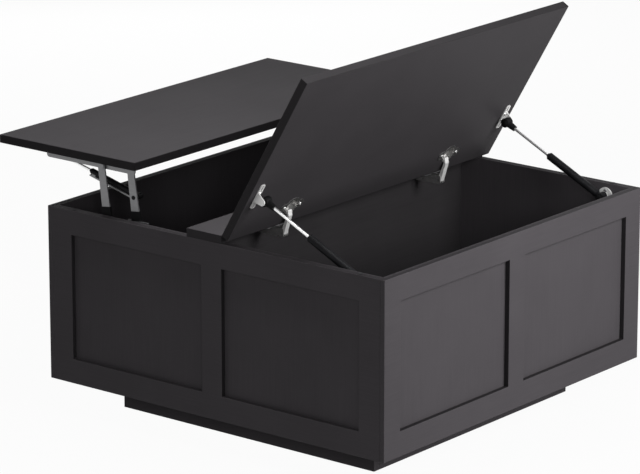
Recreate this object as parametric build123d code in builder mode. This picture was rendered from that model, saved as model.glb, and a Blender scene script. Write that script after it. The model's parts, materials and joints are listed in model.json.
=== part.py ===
"""Lift top coffee table: a square storage box with a lift top on one half and a hinged lid on the other.

Millimetres. X runs from the lift top to the lid, Y from the front to the rear, Z up.
The origin is on the floor under the middle of the table. The lift top is raised and the lid is open.
"""

import os
from math import atan2, cos, degrees, hypot, radians, sin

from build123d import *

# Box and plinth
table_width = 800.0
table_depth = 800.0
box_height = 340.0
plinth_height = 64.0
plinth_inset = 98.0
plinth_board = 16.0
floor_board = 16.0
panel_thickness = 6.0
frame_thickness = 10.0
frame_rail = 48.0
frame_stile = 48.0
frame_middle = 48.0
divider_board = 16.0
divider_middle = -23.0
edge_radius = 1.0

# Table top: centre strip, lift top and lid
top_board = 16.0
strip_width = 83.0
strip_middle = -16.5
lift_gap = 3.5
lid_gap = 3.0
bumper_diameter = 10.0
bumper_height = 1.0
bumper_clearance = 0.1
bumper_inset = 60.0

# Lid hinges
lid_opening = 60.0
axis_below_top = 3.0
hinge_from_end = 160.0
cup_from_axis = 42.0
cup_diameter = 35.0
cup_depth = 11.6
cup_wall = 1.0
flange_length = 64.0
flange_width = 19.0
flange_thickness = 1.2
flange_screw_spread = 45.0
link_width = 11.0
link_thickness = 4.0
link_pin_ahead = 17.0
link_pin_drop = 11.0
link_tip_along = 29.4
link_tip_depth = 13.0
link_bend_along = 22.7
link_bend_depth = 18.5
link_eye = 4.0
link_tip_eye = 2.2
hinge_pin = 4.0
hinge_arm_wall = 1.5
hinge_arm_height = 16.0
hinge_plate_thickness = 2.0
hinge_plate_length = 30.0
hinge_plate_width = 52.0
hinge_plate_setback = 8.0
hinge_plate_screw_spread = 38.0

# Lid struts
strut_inset = 15.0
strut_wall_from_end = 54.0
strut_lid_along = 102.0
strut_lid_drop = 17.0
strut_wall_drop = 24.0
strut_cylinder_length = 138.0
strut_cylinder_diameter = 15.0
strut_rod_diameter = 6.0
strut_rod_overlap = 30.0
strut_socket_diameter = 18.0
strut_socket_width = 15.2
strut_socket_neck = 22.0
strut_foot_neck = 11.0
strut_neck_diameter = 11.0
lid_bracket_length = 56.0
lid_bracket_width = 12.0
lid_bracket_thickness = 2.0
lid_bracket_slot = 13.0
bracket_slot_spread = 40.0
bracket_screw_spread = 15.0
ear_base = 20.0
ear_radius = 6.5
stud_diameter = 8.0
stud_length = 2.7
wall_disc_diameter = 32.0
wall_disc_thickness = 2.5
wall_disc_screw_spread = 20.0
ball_pin_diameter = 6.0

# Lift mechanism
lift_arm_length = 106.0
lift_open_angle = 97.7
lift_closed_angle = 2.2
lift_arm_spacing = 64.5
lift_pivot_from_edge = 133.0
lift_pivot_drop = 10.5
lift_arm_thickness = 3.0
arm_foot_radius = 10.0
arm_head_radius = 8.0
lift_pin = 8.0
pin_head = 13.0
pin_head_thickness = 1.0
sleeve_start = 11.0
sleeve_end = 29.0
sleeve_wall = 0.7
base_thickness = 2.0
base_ahead = 25.0
base_below = 40.0
base_above = 9.5
base_screw_back = 16.0
base_screw_step = 26.0
base_screw_rise = 8.0
cheek_half_width = 25.0
rail_leg = 15.5
rail_thickness = 2.4
rail_flange = 34.0
rail_outer_reach = 140.0
rail_inner_reach = 15.0
rail_corner = 6.0
outer_arm_lane = 3.0
rail_lane = 7.6
inner_arm_lane = 11.6
cheek_lane = 15.6
rail_screw_lane = 37.0
rail_screw_inset = 16.0

# Lift gas springs
spring_lane = 27.0
spring_anchor_ahead = 128.0
spring_arm_along = 55.0
spring_cylinder_length = 120.0
spring_cylinder_diameter = 11.0
spring_rod_diameter = 5.0
spring_eye_diameter = 13.0
spring_eye_width = 8.0
spring_foot_diameter = 12.0
spring_foot_width = 12.0
spring_rod_overlap = 25.0
spring_pin = 6.0
strap_thickness = 3.2
strap_width = 9.0
strap_gap = 0.7
saddle_length = 8.0
saddle_inset = 6.0

# Screws, fits and clearances
screw_head = 7.0
screw_head_height = 1.8
screw_head_taper = 25.0
screw_shank = 3.5
screw_length = 12.0
running_fit = 0.05
sliding_fit = 0.1
side_clearance = 0.3

# Heights and spans worked out from the sizes above
half_width = table_width / 2
half_depth = table_depth / 2
box_bottom = plinth_height
rim = box_bottom + box_height
wall_thickness = panel_thickness + frame_thickness
inner_x = half_width - wall_thickness
inner_y = half_depth - wall_thickness
floor_top = box_bottom + floor_board
strip_left = strip_middle - strip_width / 2
strip_right = strip_middle + strip_width / 2
divider_right = divider_middle + divider_board / 2
closed_underside = rim + bumper_height + bumper_clearance

# Lid: its frame starts on the hinge axis, with X along the lid
axis_x = strip_right + lid_gap
axis_z = closed_underside + top_board - axis_below_top
lid_length = half_width - axis_x
hinge_place = half_depth - hinge_from_end
lid_underside = axis_below_top - top_board
lid_along = (cos(radians(lid_opening)), 0, sin(radians(lid_opening)))
lid_normal = (-sin(radians(lid_opening)), 0, cos(radians(lid_opening)))
lid_plane = Plane(origin=(axis_x, 0, axis_z), x_dir=lid_along, z_dir=lid_normal)

# Lift: both arms stand at the open angle, and the rails keep their pivots level
lift_foot_x = -half_width + lift_pivot_from_edge
lift_foot_z = closed_underside - lift_pivot_drop - lift_arm_length * sin(radians(lift_closed_angle))
lift_rise = lift_arm_length * (sin(radians(lift_open_angle)) - sin(radians(lift_closed_angle)))
lift_shift = lift_arm_length * (cos(radians(lift_open_angle)) - cos(radians(lift_closed_angle)))
lift_underside = closed_underside + lift_rise
lift_head_x = lift_foot_x + lift_arm_length * cos(radians(lift_open_angle))
lift_head_z = lift_underside - lift_pivot_drop

sides = {"front": -1, "rear": 1}


def mid(span):
    return (span[0] + span[1]) / 2


def size(span):
    return abs(span[1] - span[0])


def save(piece, node):
    """Name a finished piece and write it."""
    piece.part.label = node
    export_step(piece.part, f"parts/{node}.step")


def on_lid(along, depth):
    """World X and Z of a point along the lid and below its hinge axis, with the lid open."""
    x = axis_x + along * lid_along[0] + depth * lid_along[2]
    z = axis_z + along * lid_along[2] - depth * lid_along[0]
    return x, z


def turned_plane(x, z, angle, y):
    """A plane square to Y, its X axis turned up by an angle and its normal towards the front."""
    along = (cos(radians(angle)), 0, sin(radians(angle)))
    return Plane(origin=(x, y, z), x_dir=along, z_dir=(0, -1, 0))


def lane_plane(side, near, far, x=0.0, z=0.0, angle=0.0):
    """The rear plane of a lane between two distances from a side wall's inner face."""
    rearmost = max(side * (inner_y - near), side * (inner_y - far))
    return turned_plane(x, z, angle, rearmost)


def outline(plane, circles, holes=()):
    """A flat shape drawn round circles (x, y, radius), with round holes."""
    with BuildSketch(plane) as shape:
        for x, y, radius in circles:
            with Locations((x, y)):
                Circle(radius)
        make_hull()
        for x, y, radius in holes:
            with Locations((x, y)):
                Circle(radius, mode=Mode.SUBTRACT)
    return shape.sketch


def disc(plane, x, y, radius):
    """A round shape on a plane."""
    with BuildSketch(plane) as shape:
        with Locations((x, y)):
            Circle(radius)
    return shape.sketch


def block(x, y, z):
    """A box between spans, in the open part block."""
    with Locations((mid(x), mid(y), mid(z))):
        Box(size(x), size(y), size(z))


def board(node, x, y, z):
    """A plain board between spans, with eased edges."""
    with BuildPart() as piece:
        block(x, y, z)
        fillet(piece.edges(), edge_radius)
    save(piece, node)


def drill(planes, depth):
    """Pilot holes for screws in the open part block, from the seats of their heads."""
    for seat in planes:
        extrude(disc(seat, 0, 0, screw_shank / 2), amount=-depth, mode=Mode.SUBTRACT)


def screws(node, planes):
    """A group of alike pan head screws."""
    with BuildPart() as group:
        for seat in planes:
            extrude(disc(seat, 0, 0, screw_head / 2), amount=screw_head_height, taper=screw_head_taper)
            extrude(disc(seat, 0, 0, screw_shank / 2), amount=-screw_length)
    save(group, node)


def pin(plane, x, y, diameter, length):
    """A round pin in the open part block, from a plane towards the front."""
    extrude(disc(plane, x, y, diameter / 2), amount=length)


def span_at(side, near, far):
    """The Y span of a lane between two distances from a side wall's inner face."""
    return side * (inner_y - near), side * (inner_y - far)


def face_seats(side, depth, places):
    """Screw seats facing inwards, at a distance from a side wall's inner face."""
    return [Plane(origin=(x, side * (inner_y - depth), z), x_dir=(1, 0, 0), z_dir=(0, -side, 0))
            for x, z in places]


def low_seats(z, places):
    """Screw seats facing down at one height."""
    return [Plane(origin=(x, y, z), x_dir=(1, 0, 0), z_dir=(0, 0, -1)) for x, y in places]


def lid_seats(thickness, places):
    """Screw seats facing out of the lid's underside, on fittings of one thickness."""
    facing = tuple(-part for part in lid_normal)
    seats = []
    for along, y in places:
        x, z = on_lid(along, thickness - lid_underside)
        seats.append(Plane(origin=(x, y, z), x_dir=(0, 1, 0), z_dir=facing))
    return seats


# Hinge places: the link's pin on the arm, its bend and its tip in the cup, with the lid open
link_pin_x = strip_right + link_pin_ahead
link_pin_z = rim - link_pin_drop
link_tip = on_lid(link_tip_along, link_tip_depth)
link_bend = on_lid(link_bend_along, link_bend_depth)
link_length = hypot(link_tip[0] - link_pin_x, link_tip[1] - link_pin_z)
link_angle = degrees(atan2(link_tip[1] - link_pin_z, link_tip[0] - link_pin_x))
hinge_plate_start = divider_right + hinge_plate_setback
hinge_plate_x = (hinge_plate_start, hinge_plate_start + hinge_plate_length)

# Strut places: the pivot on the lid, open and closed, and the pivot on the wall
strut_y = inner_y - strut_inset
strut_lid_depth = strut_lid_drop - lid_underside
strut_top = on_lid(strut_lid_along, strut_lid_depth)
strut_wall_z = rim - strut_wall_drop
strut_wall_x = inner_x - strut_wall_from_end
strut_open_length = hypot(strut_wall_x - strut_top[0], strut_top[1] - strut_wall_z)
strut_angle = degrees(atan2(strut_top[1] - strut_wall_z, strut_top[0] - strut_wall_x))
strut_closed_x = strut_wall_x - axis_x - strut_lid_along
strut_closed_z = axis_z - strut_lid_depth - strut_wall_z
strut_stroke = strut_open_length - hypot(strut_closed_x, strut_closed_z)
socket_lane = strut_inset - strut_socket_width / 2
ear_lane = socket_lane - side_clearance - stud_length
bracket_screw_lane = ear_lane + (lid_bracket_width - lid_bracket_thickness) / 2

# Lift places: the spring's anchor on the rail and its pivot on the inner arm, open and closed
inner_foot_x = lift_foot_x + lift_arm_spacing
inner_head_x = lift_head_x + lift_arm_spacing
anchor_x = lift_head_x - spring_anchor_ahead
spring_foot_x = inner_foot_x + spring_arm_along * cos(radians(lift_open_angle))
spring_foot_z = lift_foot_z + spring_arm_along * sin(radians(lift_open_angle))
spring_length = hypot(spring_foot_x - anchor_x, spring_foot_z - lift_head_z)
spring_angle = degrees(atan2(spring_foot_z - lift_head_z, spring_foot_x - anchor_x))
spring_closed_x = inner_foot_x + spring_arm_along * cos(radians(lift_closed_angle)) - anchor_x + lift_shift
spring_closed_z = lift_foot_z + spring_arm_along * sin(radians(lift_closed_angle)) - lift_head_z + lift_rise
spring_stroke = spring_length - hypot(spring_closed_x, spring_closed_z)
spring_near = spring_lane - spring_foot_width / 2
rail_x = (lift_head_x - rail_outer_reach, inner_head_x + rail_inner_reach)

# Screw seats, shared by the screws and by the holes they sit in
plate_seats = low_seats(rim - hinge_plate_thickness, [
    (mid(hinge_plate_x), side * hinge_place + end * hinge_plate_screw_spread / 2)
    for side in sides.values() for end in (-1, 1)])
disc_seats = {side: face_seats(side, wall_disc_thickness, [
    (strut_wall_x, strut_wall_z + end * wall_disc_screw_spread / 2) for end in (-1, 1)])
    for side in sides.values()}
base_seats = {side: face_seats(side, base_thickness, [
    (lift_foot_x + step * base_screw_step - base_screw_back, rim - frame_rail + base_screw_rise)
    for step in range(3)]) for side in sides.values()}
cup_seats = lid_seats(flange_thickness, [
    (cup_from_axis, side * hinge_place + end * flange_screw_spread / 2)
    for side in sides.values() for end in (-1, 1)])
bracket_seats = lid_seats(lid_bracket_thickness, [
    (strut_lid_along + end * bracket_screw_spread / 2, side * (inner_y - bracket_screw_lane))
    for side in sides.values() for end in (-1, 1)])
rail_seats = low_seats(lift_underside - rail_thickness, [
    (x, side * (inner_y - rail_screw_lane))
    for side in sides.values()
    for x in (rail_x[0] + rail_screw_inset, mid(rail_x), rail_x[1] - rail_screw_inset)])
carcass_seats = plate_seats + sum(disc_seats.values(), []) + sum(base_seats.values(), [])


def plinth():
    """Four boards and a centre rail under the box."""
    x = half_width - plinth_inset
    y = half_depth - plinth_inset
    z = (0, plinth_height)
    board("plinth_front", (-x, x), (-y, plinth_board - y), z)
    board("plinth_rear", (-x, x), (y - plinth_board, y), z)
    between = (plinth_board - y, y - plinth_board)
    board("plinth_left", (-x, plinth_board - x), between, z)
    board("plinth_right", (x - plinth_board, x), between, z)
    board("plinth_centre_rail", (-plinth_board / 2, plinth_board / 2), between, z)


def panels():
    """The thin inner walls of the box; the front and rear ones hold screws."""
    z = (box_bottom, rim)
    outer_x = inner_x + panel_thickness
    outer_y = inner_y + panel_thickness
    board("left_panel", (-outer_x, -inner_x), (-outer_y, outer_y), z)
    board("right_panel", (inner_x, outer_x), (-outer_y, outer_y), z)
    for name, side in sides.items():
        with BuildPart() as panel:
            block((-inner_x, inner_x), (side * inner_y, side * outer_y), z)
            fillet(panel.edges(), edge_radius)
            drill(disc_seats[side] + base_seats[side], screw_length)
        save(panel, f"{name}_panel")


def frame(node, plane, width, seats=()):
    """A flat frame with two windows, laid on the outside of a panel."""
    window = (width - 2 * frame_stile - frame_middle) / 2
    with BuildPart() as piece:
        with BuildSketch(plane):
            Rectangle(width, box_height)
            with GridLocations(window + frame_middle, 0, 2, 1):
                Rectangle(window, box_height - 2 * frame_rail, mode=Mode.SUBTRACT)
        extrude(amount=frame_thickness)
        fillet(piece.edges(), edge_radius)
        drill(seats, screw_length)
    save(piece, node)


def frames():
    """Frames on the four walls; the left and right ones cover the ends of the others."""
    middle = box_bottom + box_height / 2
    for node, x in (("left_frame", -half_width), ("right_frame", half_width - frame_thickness)):
        plane = Plane(origin=(x, 0, middle), x_dir=(0, 1, 0), z_dir=(1, 0, 0))
        frame(node, plane, table_depth)
    for name, side in sides.items():
        rearmost = max(side * half_depth, side * (half_depth - frame_thickness))
        plane = turned_plane(0, middle, 0, rearmost)
        frame(f"{name}_frame", plane, table_width - 2 * frame_thickness, disc_seats[side] + base_seats[side])


def carcass_boards():
    """Floor of the box, divider, and the fixed strip between the two tops."""
    board("bottom_panel", (-inner_x, inner_x), (-inner_y, inner_y), (box_bottom, floor_top))
    divider_x = (divider_right - divider_board, divider_right)
    board("divider", divider_x, (-inner_y, inner_y), (floor_top, rim))
    with BuildPart() as strip:
        block((strip_left, strip_right), (-half_depth, half_depth), (rim, rim + top_board))
        fillet(strip.edges(), edge_radius)
        drill(plate_seats, screw_length)
    save(strip, "centre_strip")
    with BuildPart() as bumpers:
        for x in (-half_width + bumper_inset, half_width - bumper_inset):
            for y in (-half_depth + wall_thickness / 2, half_depth - wall_thickness / 2):
                with Locations((x, y, rim + bumper_height / 2)):
                    Cylinder(bumper_diameter / 2, bumper_height)
    save(bumpers, "rim_bumpers")


def tops():
    """The open lid with its cup recesses, and the raised lift top."""
    recess_depth = cup_depth + side_clearance
    with BuildPart(lid_plane) as lid:
        block((0, lid_length), (-half_depth, half_depth), (lid_underside, axis_below_top))
        fillet(lid.edges(), edge_radius)
        with Locations(*[(cup_from_axis, side * hinge_place, lid_underside) for side in sides.values()]):
            Cylinder(cup_diameter / 2, 2 * recess_depth, mode=Mode.SUBTRACT)
        drill(cup_seats + bracket_seats, screw_length)
    save(lid, "lid_panel")
    with BuildPart() as lift_top:
        x = (lift_shift - half_width, strip_left - lift_gap + lift_shift)
        block(x, (-half_depth, half_depth), (lift_underside, lift_underside + top_board))
        fillet(lift_top.edges(), edge_radius)
        drill(rail_seats, screw_length)
    save(lift_top, "lift_top_panel")


def hinge_cup(name, side):
    """A pressed cup with a flange, open below and notched towards the hinge axis."""
    y = side * hinge_place
    face = lid_underside - flange_thickness
    inner_radius = cup_diameter / 2 - cup_wall
    with BuildPart(lid_plane) as cup:
        with BuildSketch(lid_plane.offset(face)):
            with Locations((cup_from_axis, y)):
                RectangleRounded(flange_width, flange_length, flange_width / 2 - cup_wall)
                Circle(cup_diameter / 2 + 2 * cup_wall)
        extrude(amount=flange_thickness)
        with Locations((cup_from_axis, y, lid_underside)):
            Cylinder(cup_diameter / 2, cup_depth, align=(Align.CENTER, Align.CENTER, Align.MIN))
        with Locations((cup_from_axis, y, face)):
            Cylinder(inner_radius, flange_thickness + cup_depth - cup_wall,
                     align=(Align.CENTER, Align.CENTER, Align.MIN), mode=Mode.SUBTRACT)
        with Locations((cup_from_axis - inner_radius, y, face)):
            Box(cup_diameter / 2, link_width + 2 * cup_wall, cup_depth, mode=Mode.SUBTRACT)
        drill(cup_seats, screw_length)
    save(cup, f"hinge_cup_{name}")


def hinge_link(name, side):
    """A bent link from the hinge arm's pin into the cup."""
    plane = turned_plane(link_pin_x, link_pin_z, link_angle, side * hinge_place + link_width / 2)
    bend = plane.to_local_coords(Vector(link_bend[0], plane.origin.Y, link_bend[1]))
    foot = (0, 0, link_eye)
    knee = (bend.X, bend.Y, link_thickness / 2)
    tip = (link_length, 0, link_tip_eye)
    bore = (0, 0, hinge_pin / 2 + running_fit)
    with BuildPart() as link:
        extrude(outline(plane, (foot, knee), (bore,)), amount=link_width)
        extrude(outline(plane, (knee, tip)), amount=link_width)
    save(link, f"hinge_link_{name}")


def hinge_arm(name, side):
    """A channel under the strip that carries the link's pin at its front end."""
    y = side * hinge_place
    inner = link_width / 2 + side_clearance
    outer = inner + hinge_arm_wall
    top = rim - hinge_plate_thickness
    bottom = top - hinge_arm_height
    x = (divider_right + side_clearance, link_pin_x + link_eye + side_clearance)
    with BuildPart() as arm:
        block(x, (y - outer, y + outer), (bottom, top))
        fillet(arm.edges().filter_by(Axis.Y).group_by(Axis.Z)[0], hinge_arm_height / 4)
        with Locations((mid(x), y, bottom + hinge_arm_wall + hinge_arm_height / 2)):
            Box(size(x), 2 * inner, hinge_arm_height, mode=Mode.SUBTRACT)
        extrude(disc(turned_plane(link_pin_x, link_pin_z, 0, y + outer), 0, 0, hinge_pin / 2),
                amount=2 * outer, mode=Mode.SUBTRACT)
    save(arm, f"hinge_arm_{name}")
    with BuildPart() as plate:
        block(hinge_plate_x, (y - hinge_plate_width / 2, y + hinge_plate_width / 2), (top, rim))
        fillet(plate.edges().filter_by(Axis.Z), hinge_arm_height / 4)
        drill(plate_seats, screw_length)
    save(plate, f"hinge_plate_{name}")


def hinge_pins():
    """The pins of both hinge links, held in the walls of the arms."""
    outer = link_width / 2 + side_clearance + hinge_arm_wall
    with BuildPart() as pins:
        for side in sides.values():
            plane = turned_plane(link_pin_x, link_pin_z, 0, side * hinge_place + outer)
            pin(plane, 0, 0, hinge_pin, 2 * outer)
    save(pins, "hinge_pins")


def strut_lid_bracket(name, side):
    """A slotted flange on the lid's underside, with an ear, a stud and the pin of the strut's socket."""
    ear_near = ear_lane - lid_bracket_thickness
    near, far = span_at(side, ear_near, ear_near + lid_bracket_width)
    ear_plane = lane_plane(side, ear_near, ear_lane, axis_x, axis_z, lid_opening)
    stud_plane = lane_plane(side, ear_lane, ear_lane + stud_length, axis_x, axis_z, lid_opening)
    pin_start = ear_lane + stud_length
    pin_plane = lane_plane(side, pin_start, pin_start + strut_socket_width, axis_x, axis_z, lid_opening)
    root = lid_underside - lid_bracket_thickness / 2
    foot = lid_bracket_thickness / 2
    with BuildPart(lid_plane) as bracket:
        x = (strut_lid_along - lid_bracket_length / 2, strut_lid_along + lid_bracket_length / 2)
        block(x, (near, far), (lid_underside - lid_bracket_thickness, lid_underside))
        fillet(bracket.edges().filter_by(Axis(lid_plane.origin, lid_normal)), lid_bracket_width / 3)
        with BuildSketch(lid_plane.offset(lid_underside)):
            slots = [(strut_lid_along + end * bracket_slot_spread / 2, mid((near, far))) for end in (-1, 1)]
            with Locations(*slots):
                SlotOverall(lid_bracket_slot, screw_shank + side_clearance)
        extrude(amount=-lid_bracket_thickness, mode=Mode.SUBTRACT)
        drill(bracket_seats, screw_length)
        ear = ((strut_lid_along - ear_base / 2, root, foot), (strut_lid_along + ear_base / 2, root, foot),
               (strut_lid_along, -strut_lid_depth, ear_radius))
        extrude(outline(ear_plane, ear), amount=lid_bracket_thickness)
        pin(stud_plane, strut_lid_along, -strut_lid_depth, stud_diameter, stud_length)
        pin(pin_plane, strut_lid_along, -strut_lid_depth, ball_pin_diameter, strut_socket_width)
    save(bracket, f"strut_lid_bracket_{name}")


def strut_wall_bracket(name, side):
    """A round plate on the wall with a stud that ends just short of the strut's foot."""
    stud_end = socket_lane - side_clearance
    plate = lane_plane(side, 0, wall_disc_thickness, strut_wall_x, strut_wall_z)
    stud = lane_plane(side, wall_disc_thickness, stud_end, strut_wall_x, strut_wall_z)
    with BuildPart() as bracket:
        pin(plate, 0, 0, wall_disc_diameter, wall_disc_thickness)
        pin(stud, 0, 0, stud_diameter, stud_end - wall_disc_thickness)
        drill(disc_seats[side], screw_length)
    save(bracket, f"strut_wall_bracket_{name}")


def strut_cylinder(name, side):
    """A strut's cylinder with its foot socket; the rod's bore leaves room for the whole stroke."""
    middle = turned_plane(strut_wall_x, strut_wall_z, strut_angle, side * strut_y)
    socket = turned_plane(strut_wall_x, strut_wall_z, strut_angle, side * strut_y + strut_socket_width / 2)
    bore_depth = strut_rod_overlap + strut_stroke + strut_rod_diameter
    axis = Axis(middle.origin, middle.x_dir)
    with BuildPart() as cylinder:
        with BuildSketch(middle):
            with BuildLine():
                Polyline((0, 0), (0, strut_neck_diameter / 2), (strut_foot_neck, strut_neck_diameter / 2),
                         (strut_foot_neck, strut_cylinder_diameter / 2),
                         (strut_cylinder_length - edge_radius, strut_cylinder_diameter / 2),
                         (strut_cylinder_length, strut_cylinder_diameter / 2 - edge_radius),
                         (strut_cylinder_length, 0), close=True)
            make_face()
        revolve(axis=axis)
        extrude(disc(socket, 0, 0, strut_socket_diameter / 2), amount=strut_socket_width)
        with BuildSketch(middle):
            with Locations((strut_cylinder_length - bore_depth, 0)):
                Rectangle(bore_depth, strut_rod_diameter / 2 + sliding_fit, align=(Align.MIN, Align.MIN))
        revolve(axis=axis, mode=Mode.SUBTRACT)
    save(cylinder, f"strut_cylinder_{name}")


def strut_rod(name, side):
    """A strut's rod, from inside the cylinder into the neck of the lid socket."""
    start = strut_cylinder_length - strut_rod_overlap
    end = strut_open_length - strut_socket_diameter / 2
    x = strut_wall_x + start * cos(radians(strut_angle))
    z = strut_wall_z + start * sin(radians(strut_angle))
    along = (cos(radians(strut_angle)), 0, sin(radians(strut_angle)))
    with BuildPart() as rod:
        with BuildSketch(Plane(origin=(x, side * strut_y, z), x_dir=(0, 1, 0), z_dir=along)):
            Circle(strut_rod_diameter / 2)
        extrude(amount=end - start)
    save(rod, f"strut_rod_{name}")


def strut_sockets():
    """The plastic sockets on the lid ends of both rods."""
    with BuildPart() as sockets:
        for side in sides.values():
            middle = turned_plane(*strut_top, strut_angle + 180, side * strut_y)
            end = turned_plane(*strut_top, strut_angle + 180, side * strut_y + strut_socket_width / 2)
            with BuildSketch(middle):
                with BuildLine():
                    Polyline((0, 0), (0, strut_socket_width / 2), (strut_socket_neck, strut_neck_diameter / 2),
                             (strut_socket_neck, strut_rod_diameter / 2),
                             (strut_socket_diameter / 2, strut_rod_diameter / 2),
                             (strut_socket_diameter / 2, 0), close=True)
                make_face()
            revolve(axis=Axis(middle.origin, middle.x_dir))
            extrude(disc(end, 0, 0, strut_socket_diameter / 2), amount=strut_socket_width)
            with BuildSketch(middle):
                with Locations((strut_socket_diameter / 2, 0)):
                    Rectangle(strut_socket_neck, strut_rod_diameter / 2, align=(Align.MIN, Align.MIN))
            revolve(axis=Axis(middle.origin, middle.x_dir), mode=Mode.SUBTRACT)
            bore = disc(end, 0, 0, ball_pin_diameter / 2 + running_fit)
            extrude(bore, amount=strut_socket_width, mode=Mode.SUBTRACT)
    save(sockets, "strut_sockets")


def lift_base(name, side):
    """A plate on the wall for the outer arm, with a cheek on a web for the inner arm."""
    x = (lift_foot_x - base_ahead, inner_foot_x + cheek_half_width)
    z = (lift_foot_z - base_below, lift_foot_z + base_above)
    cheek_x = (inner_foot_x - cheek_half_width, inner_foot_x + cheek_half_width)
    with BuildPart() as base:
        block(x, span_at(side, 0, base_thickness), z)
        fillet(base.edges().filter_by(Axis.Y).group_by(Axis.Z)[-1], rail_corner / 2)
        block(cheek_x, span_at(side, 0, cheek_lane + base_thickness), (z[0], z[0] + base_thickness))
        block(cheek_x, span_at(side, cheek_lane, cheek_lane + base_thickness), z)
        for foot_x, lane in ((lift_foot_x, 0), (inner_foot_x, cheek_lane)):
            hole = disc(lane_plane(side, lane, lane + base_thickness), foot_x, lift_foot_z, lift_pin / 2)
            extrude(hole, amount=base_thickness, mode=Mode.SUBTRACT)
        drill(base_seats[side], screw_length)
    save(base, f"lift_base_{name}")


def arm_outline(side, lane, foot_x, holes):
    """A flat arm from its foot pivot to its head pivot, at the open angle."""
    plane = lane_plane(side, lane, lane + lift_arm_thickness, foot_x, lift_foot_z, lift_open_angle)
    return outline(plane, ((0, 0, arm_foot_radius), (lift_arm_length, 0, arm_head_radius)), holes)


def lift_arms(name, side):
    """The outer and inner arm of one side."""
    bore = lift_pin / 2 + running_fit
    bores = ((0, 0, bore), (lift_arm_length, 0, bore))
    with BuildPart() as outer:
        extrude(arm_outline(side, outer_arm_lane, lift_foot_x, bores), amount=lift_arm_thickness)
    save(outer, f"outer_arm_{name}")
    spring_hole = (spring_arm_along, 0, spring_pin / 2)
    with BuildPart() as inner:
        extrude(arm_outline(side, inner_arm_lane, inner_foot_x, bores + (spring_hole,)),
                amount=lift_arm_thickness)
    save(inner, f"inner_arm_{name}")


def arm_sleeves(node, lane, foot_x):
    """Plastic sleeves round the feet of a pair of arms."""
    with BuildPart() as sleeves:
        for side in sides.values():
            plane = lane_plane(side, lane - sleeve_wall, lane + lift_arm_thickness + sleeve_wall,
                               foot_x, lift_foot_z, lift_open_angle)
            with BuildSketch(plane):
                with Locations((mid((sleeve_start, sleeve_end)), 0)):
                    Rectangle(sleeve_end - sleeve_start, 2 * (arm_foot_radius + sleeve_wall))
            extrude(amount=lift_arm_thickness + 2 * sleeve_wall)
            extrude(arm_outline(side, lane, foot_x, ()), amount=lift_arm_thickness, mode=Mode.SUBTRACT)
    save(sleeves, node)


def lift_pins():
    """Shoulder pins at the feet and heads of the arms, and the pins of the gas springs."""
    with BuildPart() as feet:
        for side in sides.values():
            outer_end = outer_arm_lane + lift_arm_thickness
            inner_end = cheek_lane + base_thickness
            for x, lane, end, head in (
                    (lift_foot_x, 0, outer_end, outer_end),
                    (inner_foot_x, inner_arm_lane, inner_end, inner_arm_lane - pin_head_thickness)):
                pin(lane_plane(side, lane, end), x, lift_foot_z, lift_pin, end - lane)
                pin(lane_plane(side, head, head + pin_head_thickness), x, lift_foot_z,
                    pin_head, pin_head_thickness)
    save(feet, "lift_lower_pins")
    with BuildPart() as heads:
        for side in sides.values():
            rail_end = rail_lane + rail_thickness
            inner_end = inner_arm_lane + lift_arm_thickness
            spring_end = spring_lane + spring_eye_width / 2
            for x, lane, end, head in (
                    (lift_head_x, outer_arm_lane, rail_end, outer_arm_lane - pin_head_thickness),
                    (inner_head_x, rail_lane, inner_end, inner_end)):
                pin(lane_plane(side, lane, end), x, lift_head_z, lift_pin, end - lane)
                pin(lane_plane(side, head, head + pin_head_thickness), x, lift_head_z,
                    pin_head, pin_head_thickness)
            pin(lane_plane(side, rail_lane, spring_end), anchor_x, lift_head_z,
                spring_pin, spring_end - rail_lane)
    save(heads, "lift_upper_pins")
    with BuildPart() as arm_pins:
        for side in sides.values():
            end = spring_near - side_clearance
            head = inner_arm_lane - sleeve_wall
            pin(lane_plane(side, inner_arm_lane, end), spring_foot_x, spring_foot_z,
                spring_pin, end - inner_arm_lane)
            pin(lane_plane(side, head, inner_arm_lane), spring_foot_x, spring_foot_z,
                stud_diameter, sleeve_wall)
    save(arm_pins, "spring_arm_pins")


def lift_rail(name, side):
    """An angle under the lift top: a screwed flange and a leg that carries the pivots."""
    leg_z = (lift_underside - rail_leg, lift_underside)
    flange_z = (lift_underside - rail_thickness, lift_underside)
    holes = ((lift_head_x, lift_pin), (inner_head_x, lift_pin), (anchor_x, spring_pin))
    with BuildPart() as rail:
        block(rail_x, span_at(side, rail_lane, rail_lane + rail_thickness), leg_z)
        fillet(rail.edges().filter_by(Axis.Y).group_by(Axis.Z)[0], rail_corner)
        block(rail_x, span_at(side, rail_lane, rail_lane + rail_flange), flange_z)
        for x, diameter in holes:
            hole = disc(lane_plane(side, rail_lane, rail_lane + rail_thickness), x, lift_head_z, diameter / 2)
            extrude(hole, amount=rail_thickness, mode=Mode.SUBTRACT)
        drill(rail_seats, screw_length)
    save(rail, f"lift_rail_{name}")


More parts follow.
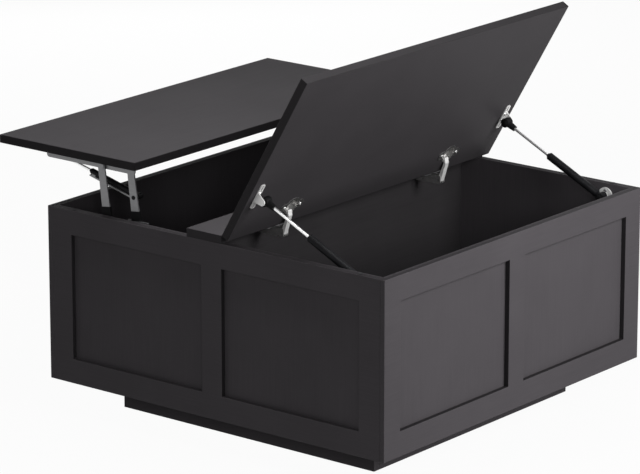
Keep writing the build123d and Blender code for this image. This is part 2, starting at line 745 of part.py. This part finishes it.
def lift_spring(name, side):
    """A gas spring: the rod hangs on the rail, and its cylinder reaches down to the inner arm."""
    y = side * (inner_y - spring_lane)
    middle = turned_plane(anchor_x, lift_head_z, spring_angle, y)
    eye = turned_plane(anchor_x, lift_head_z, spring_angle, y + spring_eye_width / 2)
    foot = turned_plane(anchor_x, lift_head_z, spring_angle, y + spring_foot_width / 2)
    axis = Axis(middle.origin, middle.x_dir)
    mouth = spring_length - spring_cylinder_length
    bore_depth = spring_rod_overlap + spring_stroke + spring_rod_diameter / 2
    radius = spring_cylinder_diameter / 2
    tube_end = spring_length - spring_foot_diameter / 3
    with BuildPart() as rod:
        with BuildSketch(middle):
            Rectangle(mouth + spring_rod_overlap, spring_rod_diameter / 2, align=(Align.MIN, Align.MIN))
        revolve(axis=axis)
        extrude(disc(eye, 0, 0, spring_eye_diameter / 2), amount=spring_eye_width)
        extrude(disc(eye, 0, 0, spring_pin / 2 + running_fit), amount=spring_eye_width, mode=Mode.SUBTRACT)
    save(rod, f"spring_rod_{name}")
    with BuildPart() as cylinder:
        with BuildSketch(middle):
            with BuildLine():
                Polyline((mouth, 0), (mouth, radius - edge_radius), (mouth + edge_radius, radius),
                         (tube_end, radius), (tube_end, 0), close=True)
            make_face()
        revolve(axis=axis)
        extrude(disc(foot, spring_length, 0, spring_foot_diameter / 2), amount=spring_foot_width)
        with BuildSketch(middle):
            with Locations((mouth, 0)):
                Rectangle(bore_depth, spring_rod_diameter / 2 + sliding_fit, align=(Align.MIN, Align.MIN))
        revolve(axis=axis, mode=Mode.SUBTRACT)
    save(cylinder, f"spring_cylinder_{name}")


def spring_straps():
    """A steel strap under each spring cylinder, on two saddles."""
    radius = spring_cylinder_diameter / 2
    mouth = spring_length - spring_cylinder_length
    bar = (-radius - strap_gap - strap_thickness, -radius - strap_gap)
    saddles = (mouth + saddle_inset + saddle_length / 2, spring_length - radius - saddle_inset)
    with BuildPart() as straps:
        for side in sides.values():
            y = side * (inner_y - spring_lane)
            middle = turned_plane(anchor_x, lift_head_z, spring_angle, y)
            edge = turned_plane(anchor_x, lift_head_z, spring_angle, y + strap_width / 2)
            with BuildSketch(edge):
                with Locations((mid((mouth, spring_length)), mid(bar))):
                    SlotOverall(spring_cylinder_length, strap_thickness)
                with Locations(*[(x, bar[1] / 2) for x in saddles]):
                    Rectangle(saddle_length, -bar[1])
            extrude(amount=strap_width)
            with BuildSketch(middle):
                Rectangle(spring_length, radius, align=(Align.MIN, Align.MIN))
            revolve(axis=Axis(middle.origin, middle.x_dir), mode=Mode.SUBTRACT)
    save(straps, "spring_straps")


os.makedirs("parts", exist_ok=True)
plinth()
panels()
frames()
carcass_boards()
tops()
hinge_pins()
strut_sockets()
arm_sleeves("outer_arm_sleeves", outer_arm_lane, lift_foot_x)
arm_sleeves("inner_arm_sleeves", inner_arm_lane, inner_foot_x)
lift_pins()
spring_straps()
for side_name, side_sign in sides.items():
    hinge_cup(side_name, side_sign)
    hinge_link(side_name, side_sign)
    hinge_arm(side_name, side_sign)
    strut_lid_bracket(side_name, side_sign)
    strut_wall_bracket(side_name, side_sign)
    strut_cylinder(side_name, side_sign)
    strut_rod(side_name, side_sign)
    lift_base(side_name, side_sign)
    lift_arms(side_name, side_sign)
    lift_rail(side_name, side_sign)
    lift_spring(side_name, side_sign)
screws("carcass_screws", carcass_seats)
screws("lid_screws", cup_seats + bracket_seats)
screws("lift_rail_screws", rail_seats)
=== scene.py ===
import json
import math

import bpy
import numpy as np
from mathutils import Matrix, Vector


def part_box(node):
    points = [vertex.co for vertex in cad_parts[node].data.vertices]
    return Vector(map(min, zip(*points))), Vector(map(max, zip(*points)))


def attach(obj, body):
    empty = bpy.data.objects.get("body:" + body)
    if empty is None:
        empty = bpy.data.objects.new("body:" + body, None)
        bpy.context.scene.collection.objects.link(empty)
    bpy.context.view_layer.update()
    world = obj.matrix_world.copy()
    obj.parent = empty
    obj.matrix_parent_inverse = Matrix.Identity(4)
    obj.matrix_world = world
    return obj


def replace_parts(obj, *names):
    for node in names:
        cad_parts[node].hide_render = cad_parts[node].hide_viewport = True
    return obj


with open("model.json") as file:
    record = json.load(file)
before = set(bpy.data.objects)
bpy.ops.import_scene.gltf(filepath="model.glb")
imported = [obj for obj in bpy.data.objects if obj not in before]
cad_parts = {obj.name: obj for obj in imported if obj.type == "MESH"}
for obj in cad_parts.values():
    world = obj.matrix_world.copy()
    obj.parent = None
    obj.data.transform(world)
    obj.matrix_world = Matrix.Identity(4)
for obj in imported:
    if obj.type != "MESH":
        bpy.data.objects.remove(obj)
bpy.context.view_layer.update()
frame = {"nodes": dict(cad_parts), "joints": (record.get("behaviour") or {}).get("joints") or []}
nodes = frame["nodes"]

# The photograph's camera, as fitted to the corners of the box: its distance and shifts count in sides of
# the box, from the middle of the box's underside
BOX_SIDE = 0.8
CAMERA_AZIMUTH = math.radians(38.57)
CAMERA_ELEVATION = math.radians(15.91)
CAMERA_DISTANCE = 9.682 * BOX_SIDE
CAMERA_RIGHT = -0.0632 * BOX_SIDE
CAMERA_UP = 0.3123 * BOX_SIDE
CAMERA_BASE = 0.064
CAMERA_LENS = 227.3
CAMERA_SENSOR = 36
CAMERA_CLIP = 60

# Directions, and the lid's slope in the open state
AXIS_X, AXIS_Y, AXIS_Z = (1, 0, 0), (0, 1, 0), (0, 0, 1)
LID_OPENING = math.radians(60)
LID_TURN = (0, LID_OPENING, 0)
LID_ALONG = (math.cos(LID_OPENING), 0, math.sin(LID_OPENING))

# Laminate: pores per metre along and across the grain, and the darkest and lightest tone of each look; the
# board's tones are the laminate's own, the others are copies of them darkened or lightened as painted shade
# and painted light
GRAIN_X = (9.0, 420.0, 420.0)
GRAIN_Y = (420.0, 9.0, 420.0)
GRAIN_Z = (420.0, 420.0, 9.0)
BOARD_TONES = (0.052, 0.048, 0.052), (0.066, 0.061, 0.066)
# Painted shade on the lid and lift top: a darker copy of the board's tones
TOP_SHADED_TONES = (0.033, 0.0308, 0.033), (0.043, 0.0401, 0.043)
# Painted light on the centre strip: a lighter copy of the lid's and lift top's tones
STRIP_LIT_TONES = (0.041, 0.0382, 0.041), (0.053, 0.0494, 0.053)
# Painted shade inside the box, on the bottom panel and divider: a darker copy of the board's tones
INTERIOR_SHADED_TONES = (0.025, 0.0235, 0.025), (0.033, 0.031, 0.033)

# Painted shade on the edges of boards and on their cut edges, such as rim tops and window recesses: the
# depth of a shaded edge, and the share of the board's tone that is left there.
# A surface is a cut edge where its normal reaches less than CUT_FACING along the axis of the board's face.
EDGE_SHADE_DEPTH = 0.0006
EDGE_SHADE_TONE = 0.6
CUT_SHADE_TONE = 0.4
CUT_FACING = 0.5

# Most of a noise's values lie between these
NOISE_LOW, NOISE_HIGH = 0.3, 0.7

# Vertices that agree to this many decimals of a metre are one place
PLACE_DECIMALS = 6

# Screws: radii, depths below the seat, and the head's outline as shares of its radius with heights.
# What lies past HEAD_SHARE of a screw's widest radius is its head.
SCREW_POINT = 0.0006
SCREW_SHANK = 0.00175
SCREW_HEAD = 0.0035
SCREW_LENGTH = 0.012
SCREW_TAPER = 0.010
SCREW_TOP = 0.0018
HEAD_OUTLINE = ((1, 0), (1, 0.0003), (0.96, 0.0008), (0.86, 0.0013), (0.74, 0.0016), (0.62, SCREW_TOP))
HEAD_SHARE = 0.9
SCREW_SEGMENTS = 24
SCREW_TURN_DEGREES = 37

# The cross recess of a screw: its arms, their length and half width, its depth, and the share of its mouth
# that is left at its floor
RECESS_ARMS = 4
RECESS_REACH = 0.0018
RECESS_HALF = 0.0005
RECESS_DEPTH = 0.0011
RECESS_FLOOR = 0.55

# Seal rings of the cylinders: radii of the rods, and the ring's outline in radii of its rod.
# What lies within MOUTH_DEPTH of a cylinder's end is its mouth.
STRUT_ROD = 0.003
SPRING_ROD = 0.0025
GLAND_OUTLINE = ((1.02, -0.13), (1.73, -0.13), (1.73, 0.3), (1.63, 0.43), (1.43, 0.43),
                 (1.43, 0.8), (1.33, 0.93), (1.13, 0.93), (1.02, 0.83), (1.02, -0.13))
MOUTH_DEPTH = 0.0002

# Caps of the ball sockets: radii and heights from the socket's face
CAP_OUTLINE = ((0.0002, -0.0004), (0.0074, -0.0004), (0.0078, 0.0001), (0.0078, 0.0005), (0.0073, 0.0009),
               (0.0056, 0.0010), (0.0052, 0.0014), (0.0042, 0.0018), (0.0022, 0.0020), (0.0002, 0.0020))

# Segments round a seal ring or cap, and the angle past which an edge of a piece is shaded sharp
RING_SEGMENTS = 32
SMOOTH_ANGLE = math.radians(35)

# The floor and the light that comes from all round
FLOOR_REACH = 30.0
FLOOR_GREY = (0.36, 0.36, 0.36, 1)
FLOOR_ROUGHNESS = 0.9
FLOOR_SHADE = 0.04
WORLD_LEVEL = 0.06
WHITE = (1, 1, 1, 1)

ENDS = ("front", "rear")


def add_to_scene(made):
    bpy.context.scene.collection.objects.link(made)


def place_camera():
    """The camera stands off along its own view, shifted to the right and up."""
    back = Vector((math.sin(CAMERA_AZIMUTH) * math.cos(CAMERA_ELEVATION),
                   -math.cos(CAMERA_AZIMUTH) * math.cos(CAMERA_ELEVATION),
                   math.sin(CAMERA_ELEVATION)))
    right = Vector((math.cos(CAMERA_AZIMUTH), math.sin(CAMERA_AZIMUTH), 0))
    up = back.cross(right)
    base = Vector((0, 0, CAMERA_BASE))
    data = bpy.data.cameras.new("camera")
    data.lens = CAMERA_LENS
    data.sensor_width = CAMERA_SENSOR
    data.clip_end = CAMERA_CLIP
    camera = bpy.data.objects.new("camera", data)
    camera.location = back * CAMERA_DISTANCE + right * CAMERA_RIGHT + up * CAMERA_UP + base
    camera.rotation_euler = (-back).to_track_quat("-Z", "Y").to_euler()
    add_to_scene(camera)
    bpy.context.scene.camera = camera


class Tree:
    """The node tree of a material or of the world, with short calls for the nodes used here."""

    def __init__(self, owner):
        owner.use_nodes = True
        self.tree = owner.node_tree

    def add(self, kind, **settings):
        node = self.tree.nodes.new(kind)
        for key, value in settings.items():
            setattr(node, key, value)
        return node

    def link(self, source, socket):
        self.tree.links.new(source, socket)

    def math(self, operation, first, second):
        node = self.add("ShaderNodeMath", operation=operation)
        for socket, value in zip(node.inputs, (first, second)):
            if isinstance(value, (int, float)):
                socket.default_value = value
            else:
                self.link(value, socket)
        return node.outputs["Value"]

    def span(self, value, low, high, start=NOISE_LOW, end=NOISE_HIGH):
        """A value that goes from low to high as another goes from start to end."""
        node = self.add("ShaderNodeMapRange")
        node.inputs["From Min"].default_value = start
        node.inputs["From Max"].default_value = end
        node.inputs["To Min"].default_value = low
        node.inputs["To Max"].default_value = high
        self.link(value, node.inputs["Value"])
        return node.outputs["Result"]


class Surface(Tree):
    """A material's tree, with its shader and the place on the object."""

    def __init__(self, name):
        self.material = bpy.data.materials.new(name)
        super().__init__(self.material)
        self.shader = self.tree.nodes["Principled BSDF"]
        self.object = self.add("ShaderNodeTexCoord").outputs["Object"]

    def stretched(self, scale, turn=(0, 0, 0)):
        node = self.add("ShaderNodeMapping")
        node.inputs["Rotation"].default_value = turn
        node.inputs["Scale"].default_value = scale
        self.link(self.object, node.inputs["Vector"])
        return node.outputs["Vector"]

    def noise(self, vector, scale=1.0, detail=3.0, rough=0.55):
        node = self.add("ShaderNodeTexNoise")
        node.inputs["Scale"].default_value = scale
        node.inputs["Detail"].default_value = detail
        node.inputs["Roughness"].default_value = rough
        self.link(vector, node.inputs["Vector"])
        return node.outputs["Fac"]

    def mixed(self, first, first_share, second, second_share):
        """The sum of two values, each times its share."""
        return self.math("ADD", self.math("MULTIPLY", first, first_share),
                         self.math("MULTIPLY", second, second_share))

    def ramp(self, value, dark, light):
        node = self.add("ShaderNodeValToRGB")
        for element, place, tone in zip(node.color_ramp.elements, (NOISE_LOW, NOISE_HIGH), (dark, light)):
            element.position = place
            element.color = (*tone, 1)
        self.link(value, node.inputs["Fac"])
        return node.outputs["Color"]

    def along(self, vector, direction):
        node = self.add("ShaderNodeVectorMath", operation="DOT_PRODUCT")
        node.inputs[1].default_value = direction
        self.link(vector, node.inputs[0])
        return node.outputs["Value"]

    def beyond(self, direction, low, high):
        """1 where the place along a direction is outside two limits."""
        place = self.along(self.object, direction)
        return self.math("MAXIMUM", self.math("LESS_THAN", place, low),
                         self.math("GREATER_THAN", place, high))

    def aside(self, axis):
        """1 on the faces that look away from an axis, such as the cut edges of a flat board."""
        facing = self.along(self.add("ShaderNodeNewGeometry").outputs["True Normal"], axis)
        return self.math("LESS_THAN", self.math("ABSOLUTE", facing, 0), CUT_FACING)

    def darkened(self, colour, amount, tone):
        node = self.add("ShaderNodeMix", data_type="RGBA", blend_type="MULTIPLY")
        node.inputs["B"].default_value = (tone, tone, tone, 1)
        self.link(amount, node.inputs["Factor"])
        self.link(colour, node.inputs["A"])
        return node.outputs["Result"]

    def bump(self, height, distance, strength):
        node = self.add("ShaderNodeBump")
        node.inputs["Distance"].default_value = distance
        node.inputs["Strength"].default_value = strength
        self.link(height, node.inputs["Height"])
        self.link(node.outputs["Normal"], self.shader.inputs["Normal"])

    def finish(self, colour, roughness):
        self.link(colour, self.shader.inputs["Base Color"])
        self.link(roughness, self.shader.inputs["Roughness"])


def laminate(name, tones, grain, turn=(0, 0, 0), specular=0.04, shaded_edges=(), face=None, spared=()):
    """Printed melamine: long pores along the grain, soft mottling and a fine pebble.

    Painted shade darkens its edges past the given limits, and the cut edges that look away from its face,
    but for the spared ends.
    """
    surface = Surface(name)
    pores = surface.noise(surface.stretched(grain, turn), detail=6.0, rough=0.62)
    mottle = surface.noise(surface.object, scale=7.0)
    pebble = surface.noise(surface.object, scale=900.0, detail=2.0)
    colour = surface.ramp(surface.mixed(pores, 0.6, mottle, 0.4), *tones)
    for shaded_edge in shaded_edges:
        # Painted shade on the board's edges past the given limits
        colour = surface.darkened(colour, surface.beyond(*shaded_edge), EDGE_SHADE_TONE)
    if face:
        # Painted shade on the cut edges, such as the rim tops and the sides of the window recesses
        cut_shade = surface.aside(face)
        for span in spared:
            cut_shade = surface.math("SUBTRACT", cut_shade, surface.beyond(*span))
        colour = surface.darkened(colour, cut_shade, CUT_SHADE_TONE)
    surface.finish(colour, surface.span(pores, low=0.5, high=0.62))
    surface.shader.inputs["Specular IOR Level"].default_value = specular
    surface.bump(surface.mixed(pores, 0.7, pebble, 0.5), distance=0.00022, strength=0.6)
    return surface.material


def metal(name, dark, light, streak, rough, metallic):
    """Plated steel: fine drawn streaks, soft clouding of the plating."""
    surface = Surface(name)
    streaks = surface.noise(surface.stretched(streak), detail=5.0)
    cloud = surface.noise(surface.object, scale=90.0)
    tone = surface.mixed(streaks, 0.5, cloud, 0.5)
    surface.finish(surface.ramp(tone, dark, light), surface.span(tone, *rough))
    surface.shader.inputs["Metallic"].default_value = metallic
    surface.bump(streaks, distance=0.00004, strength=0.5)
    return surface.material


def moulded(name, dark, light, rough, pebble, depth, specular):
    """Moulded or painted black: a fine pebble and slight changes of tone."""
    surface = Surface(name)
    cloud = surface.noise(surface.object, scale=60.0)
    fine = surface.noise(surface.object, scale=pebble, detail=2.0)
    surface.finish(surface.ramp(cloud, dark, light), surface.span(fine, *rough))
    surface.shader.inputs["Specular IOR Level"].default_value = specular
    surface.bump(fine, distance=depth, strength=0.6)
    return surface.material


def edges(node, *directions):
    """The limits of a board along some directions, past which its edges take painted shade."""
    points = [vertex.co for vertex in nodes[node].data.vertices]
    spans = []
    for direction in directions:
        places = [point.dot(Vector(direction)) for point in points]
        spans.append((direction, min(places) + EDGE_SHADE_DEPTH, max(places) - EDGE_SHADE_DEPTH))
    return spans


looks = {
    # The lid and lift top take the shaded copy of the tones, the centre strip the lit copy, and the bottom
    # panel and divider the shaded interior copy
    "lid": laminate("lid_laminate", TOP_SHADED_TONES, GRAIN_Y, LID_TURN,
                    shaded_edges=edges("lid_panel", LID_ALONG, AXIS_Y)),
    "shaded_interior": laminate("lining_laminate", INTERIOR_SHADED_TONES, GRAIN_Y),
    "top": laminate("top_laminate", TOP_SHADED_TONES, GRAIN_Y, specular=0.02,
                    shaded_edges=edges("lift_top_panel", AXIS_X, AXIS_Y)),
    "strip": laminate("strip_laminate", STRIP_LIT_TONES, GRAIN_Y, shaded_edges=edges("centre_strip", AXIS_X, AXIS_Y)),
    "end_frame": laminate("end_frame_laminate", BOARD_TONES, GRAIN_X, face=AXIS_Y),
    "side_frame": laminate("side_frame_laminate", BOARD_TONES, GRAIN_Y, face=AXIS_X,
                           spared=edges("right_frame", AXIS_Y)),
    "along_x": laminate("laminate_along_x", BOARD_TONES, GRAIN_X),
    "along_y": laminate("laminate_along_y", BOARD_TONES, GRAIN_Y),
    # Painted shade on the rim tops of the upright panels, past the front frame's height
    "upright": laminate("laminate_upright", BOARD_TONES, GRAIN_Z, shaded_edges=edges("front_frame", AXIS_Z)),
    "steel": metal("lift_steel", dark=(0.17, 0.17, 0.175), light=(0.23, 0.23, 0.235),
                   streak=(40, 40, 600), rough=(0.42, 0.56), metallic=0.8),
    "nickel": metal("hinge_nickel", dark=(0.40, 0.395, 0.39), light=(0.54, 0.535, 0.53),
                    streak=(300, 60, 300), rough=(0.28, 0.42), metallic=0.95),
    "zinc": metal("bright_zinc", dark=(0.74, 0.735, 0.73), light=(0.86, 0.855, 0.85),
                  streak=(300, 60, 300), rough=(0.36, 0.5), metallic=0.3),
    "screw": metal("screw_steel", dark=(0.58, 0.575, 0.57), light=(0.74, 0.735, 0.73),
                   streak=(90, 90, 90), rough=(0.26, 0.4), metallic=0.9),
    "rod": metal("rod_chrome", dark=(0.87, 0.87, 0.87), light=(0.94, 0.94, 0.94),
                 streak=(20, 900, 20), rough=(0.28, 0.38), metallic=0.85),
    "paint": moulded("cylinder_black", dark=(0.006, 0.006, 0.007), light=(0.012, 0.012, 0.013),
                     rough=(0.36, 0.46), pebble=700, depth=0.00005, specular=0.07),
    "plastic": moulded("black_plastic", dark=(0.006, 0.006, 0.006), light=(0.011, 0.011, 0.012),
                       rough=(0.5, 0.64), pebble=1400, depth=0.0001, specular=0.05),
    "rubber": moulded("bumper_rubber", dark=(0.02, 0.02, 0.021), light=(0.035, 0.035, 0.037),
                      rough=(0.7, 0.82), pebble=1100, depth=0.0001, specular=0.1),
}


def pair(fitting):
    """The names of a fitting's front and rear nodes."""
    return [f"{fitting}_{end}" for end in ENDS]


nodes_with = {
    "lid": ["lid_panel"],
    "shaded_interior": ["bottom_panel", "divider"],
    "top": ["lift_top_panel"],
    "strip": ["centre_strip"],
    "end_frame": ["front_frame", "rear_frame"],
    "side_frame": ["left_frame", "right_frame"],
    "along_x": ["plinth_front", "plinth_rear"],
    "along_y": ["plinth_left", "plinth_right", "plinth_centre_rail"],
    "upright": ["front_panel", "rear_panel", "left_panel", "right_panel"],
    "steel": ["spring_straps", "lift_lower_pins", "lift_upper_pins", *pair("hinge_plate"),
              *pair("lift_base"), *pair("outer_arm"), *pair("inner_arm"), *pair("lift_rail")],
    "nickel": ["hinge_pins", *pair("hinge_cup")],
    "zinc": [*pair("hinge_link"), *pair("strut_lid_bracket"), *pair("strut_wall_bracket")],
    "screw": pair("hinge_arm"),
    "rod": [*pair("strut_rod"), *pair("spring_rod")],
    "paint": ["spring_arm_pins", *pair("strut_cylinder"), *pair("spring_cylinder")],
    "plastic": ["strut_sockets", "outer_arm_sleeves", "inner_arm_sleeves"],
    "rubber": ["rim_bumpers"],
}
for look, names in nodes_with.items():
    for name in names:
        for material_slot in nodes[name].material_slots:
            material_slot.material = looks[look]


def loose_parts(node):
    """The vertices of each separate solid of a CAD node, as arrays."""
    mesh = nodes[node].data
    points = np.array([vertex.co[:] for vertex in mesh.vertices])
    _, place = np.unique(np.round(points, PLACE_DECIMALS), axis=0, return_inverse=True)
    place = place.reshape(-1)
    group = np.arange(place.max() + 1)

    def root(index):
        while group[index] != index:
            index = group[index]
        return index

    for edge in mesh.edges:
        first, second = (root(place[index]) for index in edge.vertices)
        group[max(first, second)] = min(first, second)
    roots = np.array([root(index) for index in place])
    return [points[roots == index] for index in np.unique(roots)]


def long_axis(points):
    """Centre, direction, and each point's place along and distance from a turned solid's long axis."""
    centre = (points.min(axis=0) + points.max(axis=0)) / 2
    direction = np.linalg.svd(points - points.mean(axis=0), full_matrices=False)[2][0]
    along = (points - centre) @ direction
    away = np.linalg.norm(points - centre - along[:, None] * direction, axis=1)
    return centre, direction, along, away


def frame_at(place, direction, turn=0.0):
    """A frame whose Z axis runs along a direction from a place."""
    facing = Vector(direction).to_track_quat("Z", "Y").to_matrix().to_4x4()
    return Matrix.Translation(Vector(place)) @ facing @ Matrix.Rotation(turn, 4, "Z")


def turned(profile, segments):
    """Vertices and faces of a solid of revolution about Z; the profile runs from end to end."""
    verts, faces = [], []
    for radius, height in profile:
        for step in range(segments):
            angle = 2 * math.pi * step / segments
            verts.append((radius * math.cos(angle), radius * math.sin(angle), height))
    for ring in range(len(profile) - 1):
        for step in range(segments):
            first = ring * segments + step
            second = ring * segments + (step + 1) % segments
            faces.append((first, second, second + segments, first + segments))
    return verts, faces


def low_cap(segments):
    """The face that closes the first ring of a turned solid."""
    return tuple(range(segments - 1, -1, -1))


def cross_screw():
    """A pan head screw with a cross recess, its seat at Z 0 and its head up."""
    profile = [(SCREW_POINT, -SCREW_LENGTH), (SCREW_SHANK, -SCREW_TAPER), (SCREW_SHANK, 0)]
    profile += [(share * SCREW_HEAD, height) for share, height in HEAD_OUTLINE]
    verts, faces = turned(profile, SCREW_SEGMENTS)
    faces.append(low_cap(SCREW_SEGMENTS))
    mouth = len(verts)
    rim = mouth - SCREW_SEGMENTS
    corners = ((RECESS_REACH, -RECESS_HALF), (RECESS_REACH, RECESS_HALF), (RECESS_HALF, RECESS_HALF))
    around = RECESS_ARMS * len(corners)
    quarter = SCREW_SEGMENTS // RECESS_ARMS
    for height, share in ((SCREW_TOP, 1.0), (SCREW_TOP - RECESS_DEPTH, RECESS_FLOOR)):
        for arm in range(RECESS_ARMS):
            turn = 2 * math.pi * arm / RECESS_ARMS
            for along, across in corners:
                verts.append((share * (along * math.cos(turn) - across * math.sin(turn)),
                              share * (along * math.sin(turn) + across * math.cos(turn)), height))
    for arm in range(RECESS_ARMS):
        here = mouth + len(corners) * arm
        after = mouth + len(corners) * ((arm + 1) % RECESS_ARMS)
        ring = [rim + (quarter * arm + step) % SCREW_SEGMENTS for step in range(-1, quarter)]
        faces.append((ring[0], ring[1], ring[2], here + 1, here))
        faces.append((*ring[2:], after, here + 2, here + 1))
    for corner in range(around):
        after = (corner + 1) % around
        faces.append((mouth + corner, mouth + after, mouth + around + after, mouth + around + corner))
    faces.append(tuple(mouth + around + corner for corner in range(around)))
    return verts, faces


def rod_gland(radius):
    """A stepped seal ring round a rod, its foot on the cylinder's mouth at Z 0."""
    return turned([(radius * away, radius * height) for away, height in GLAND_OUTLINE], RING_SEGMENTS)


def socket_cap():
    """A low dome that closes the back of a ball socket, its rim on the socket's face at Z 0."""
    verts, faces = turned(CAP_OUTLINE, RING_SEGMENTS)
    faces.append(low_cap(RING_SEGMENTS))
    faces.append(tuple(range(len(verts) - RING_SEGMENTS, len(verts))))
    return verts, faces


def piece(name, shape, frames, look, body):
    """One mesh piece: a shape set at each of several frames, riding on a body."""
    shape_verts, shape_faces = shape
    verts, faces = [], []
    for matrix in frames:
        start = len(verts)
        verts.extend(matrix @ Vector(point) for point in shape_verts)
        faces.extend(tuple(start + index for index in face) for face in shape_faces)
    mesh = bpy.data.meshes.new(name)
    mesh.from_pydata(verts, [], faces)
    mesh.materials.append(looks[look])
    mesh.shade_smooth()
    mesh.set_sharp_from_angle(angle=SMOOTH_ANGLE)
    made = bpy.data.objects.new(name, mesh)
    add_to_scene(made)
    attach(made, body)
    return made


def dress_screws(node, body, look):
    """Cross recess screws in place of a node's plain ones, each turned further than the one before."""
    seats = []
    for index, points in enumerate(loose_parts(node)):
        centre, direction, along, away = long_axis(points)
        head = along[away > HEAD_SHARE * away.max()]
        if head.mean() < 0:
            direction, head = -direction, -head
        turn = math.radians(SCREW_TURN_DEGREES * index)
        seats.append(frame_at(centre + direction * head.min(), direction, turn))
    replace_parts(piece(f"cross_{node}", cross_screw(), seats, look, body), node)


def joint_named(name):
    return next(joint for joint in frame["joints"] if joint["name"] == name)


def dress_gland(kind, end, radius):
    """A seal ring at the mouth of a strut's or spring's cylinder, on the side where its rod comes out."""
    direction = np.array(joint_named(f"{kind}_slide")["axis"])
    cylinder = f"{kind}_cylinder_{end}"
    tube = np.concatenate(loose_parts(cylinder))
    stem = np.concatenate(loose_parts(f"{kind}_rod_{end}"))
    if (stem.mean(axis=0) - tube.mean(axis=0)) @ direction < 0:
        direction = -direction
    along = tube @ direction
    mouth = tube[along > along.max() - MOUTH_DEPTH]
    centre = (mouth.min(axis=0) + mouth.max(axis=0)) / 2
    seats = [frame_at(centre, direction)]
    piece(f"gland_{cylinder}", rod_gland(radius), seats, "plastic", f"{kind}_cylinders")


def dress_sockets(name, centre, faces, body):
    """A cap on the inner face of both sockets at one end of the struts."""
    frames = [frame_at((centre[0], face, centre[2]), (0, -math.copysign(1, face), 0)) for face in faces]
    piece(name, socket_cap(), frames, "plastic", body)


def dress_fittings():
    """The screws, seal rings and socket caps."""
    dress_screws("carcass_screws", "carcass", "steel")
    dress_screws("lid_screws", "lid", "screw")
    dress_screws("lift_rail_screws", "lift_top", "steel")
    for end in ENDS:
        dress_gland("strut", end, STRUT_ROD)
        dress_gland("spring", end, SPRING_ROD)
    lid_pin = joint_named("strut_turn")["pos_m"]
    bracket_low, bracket_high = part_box("strut_wall_bracket_front")
    wall_pin = (Vector(bracket_low) + Vector(bracket_high)) / 2
    inner_faces = [math.copysign(np.abs(points[:, 1]).min(), points[0, 1])
                   for points in loose_parts("strut_sockets")]
    dress_sockets("upper_socket_caps", lid_pin, inner_faces, "strut_rods")
    dress_sockets("lower_socket_caps", wall_pin, inner_faces, "strut_cylinders")


def area_light(name, place, target, size, power, gloss=False):
    """A rectangular lamp at a place, facing a target."""
    data = bpy.data.lights.new(name, "AREA")
    data.shape = "RECTANGLE"
    data.size, data.size_y = size
    data.energy = power
    lamp = bpy.data.objects.new(name, data)
    lamp.location = place
    lamp.rotation_euler = (Vector(target) - Vector(place)).to_track_quat("-Z", "Y").to_euler()
    lamp.visible_glossy = gloss
    add_to_scene(lamp)


def light_world():
    """White to the camera and in reflections, and a dim light on everything else."""
    world = bpy.data.worlds.new("studio")
    bpy.context.scene.world = world
    sky = Tree(world)
    rays = sky.add("ShaderNodeLightPath").outputs
    seen = sky.math("MAXIMUM", rays["Is Camera Ray"], rays["Is Transmission Ray"])
    seen = sky.math("MAXIMUM", seen, rays["Is Glossy Ray"])
    background = sky.tree.nodes["Background"]
    background.inputs["Color"].default_value = WHITE
    sky.link(sky.span(seen, low=WORLD_LEVEL, high=1.0, start=0.0, end=1.0), background.inputs["Strength"])


def lay_floor():
    """A pale floor that glows white to the camera and in reflections, and keeps a little shade."""
    mesh = bpy.data.meshes.new("floor")
    corners = [(x * FLOOR_REACH, y * FLOOR_REACH, 0) for x, y in ((-1, -1), (1, -1), (1, 1), (-1, 1))]
    mesh.from_pydata(corners, [], [(0, 1, 2, 3)])
    floor = bpy.data.objects.new("floor", mesh)
    add_to_scene(floor)
    material = bpy.data.materials.new("floor_white")
    surface = Tree(material)
    shader = surface.tree.nodes["Principled BSDF"]
    shader.inputs["Base Color"].default_value = FLOOR_GREY
    shader.inputs["Roughness"].default_value = FLOOR_ROUGHNESS
    shader.inputs["Specular IOR Level"].default_value = 0.0
    glow = surface.add("ShaderNodeEmission")
    glow.inputs["Color"].default_value = WHITE
    rays = surface.add("ShaderNodeLightPath").outputs
    seen = surface.math("MAXIMUM", rays["Is Camera Ray"], rays["Is Glossy Ray"])
    mix = surface.add("ShaderNodeMixShader")
    surface.link(surface.math("MULTIPLY", seen, 1 - FLOOR_SHADE), mix.inputs["Fac"])
    surface.link(shader.outputs["BSDF"], mix.inputs[1])
    surface.link(glow.outputs["Emission"], mix.inputs[2])
    surface.link(mix.outputs["Shader"], surface.tree.nodes["Material Output"].inputs["Surface"])
    mesh.materials.append(material)


dress_fittings()
place_camera()
light_world()
lay_floor()
area_light("key", place=(1.55, 0.25, 1.05), target=(0.3, 0, 0.3), size=(0.7, 0.7), power=23, gloss=True)
area_light("top", place=(0.0, -0.35, 1.5), target=(-0.1, -0.35, 0.4), size=(0.6, 0.6), power=15, gloss=True)
area_light("front", place=(3.4, -4.5, 2.03), target=(-0.2, 0, 0.35), size=(1.8, 1.2), power=70)
area_light("low_side", place=(2.6, 0.2, 0.16), target=(0.4, 0, 0.1), size=(1.2, 0.25), power=18)
area_light("low_front", place=(-0.4, -2.9, 0.16), target=(0, -0.4, 0.1), size=(1.4, 0.25), power=1.4)
area_light("rear_fill", place=(-2.4, 2.4, 1.0), target=(0, 0, 0.3), size=(1.6, 1.6), power=56)
bpy.context.scene.view_settings.view_transform = "Standard"
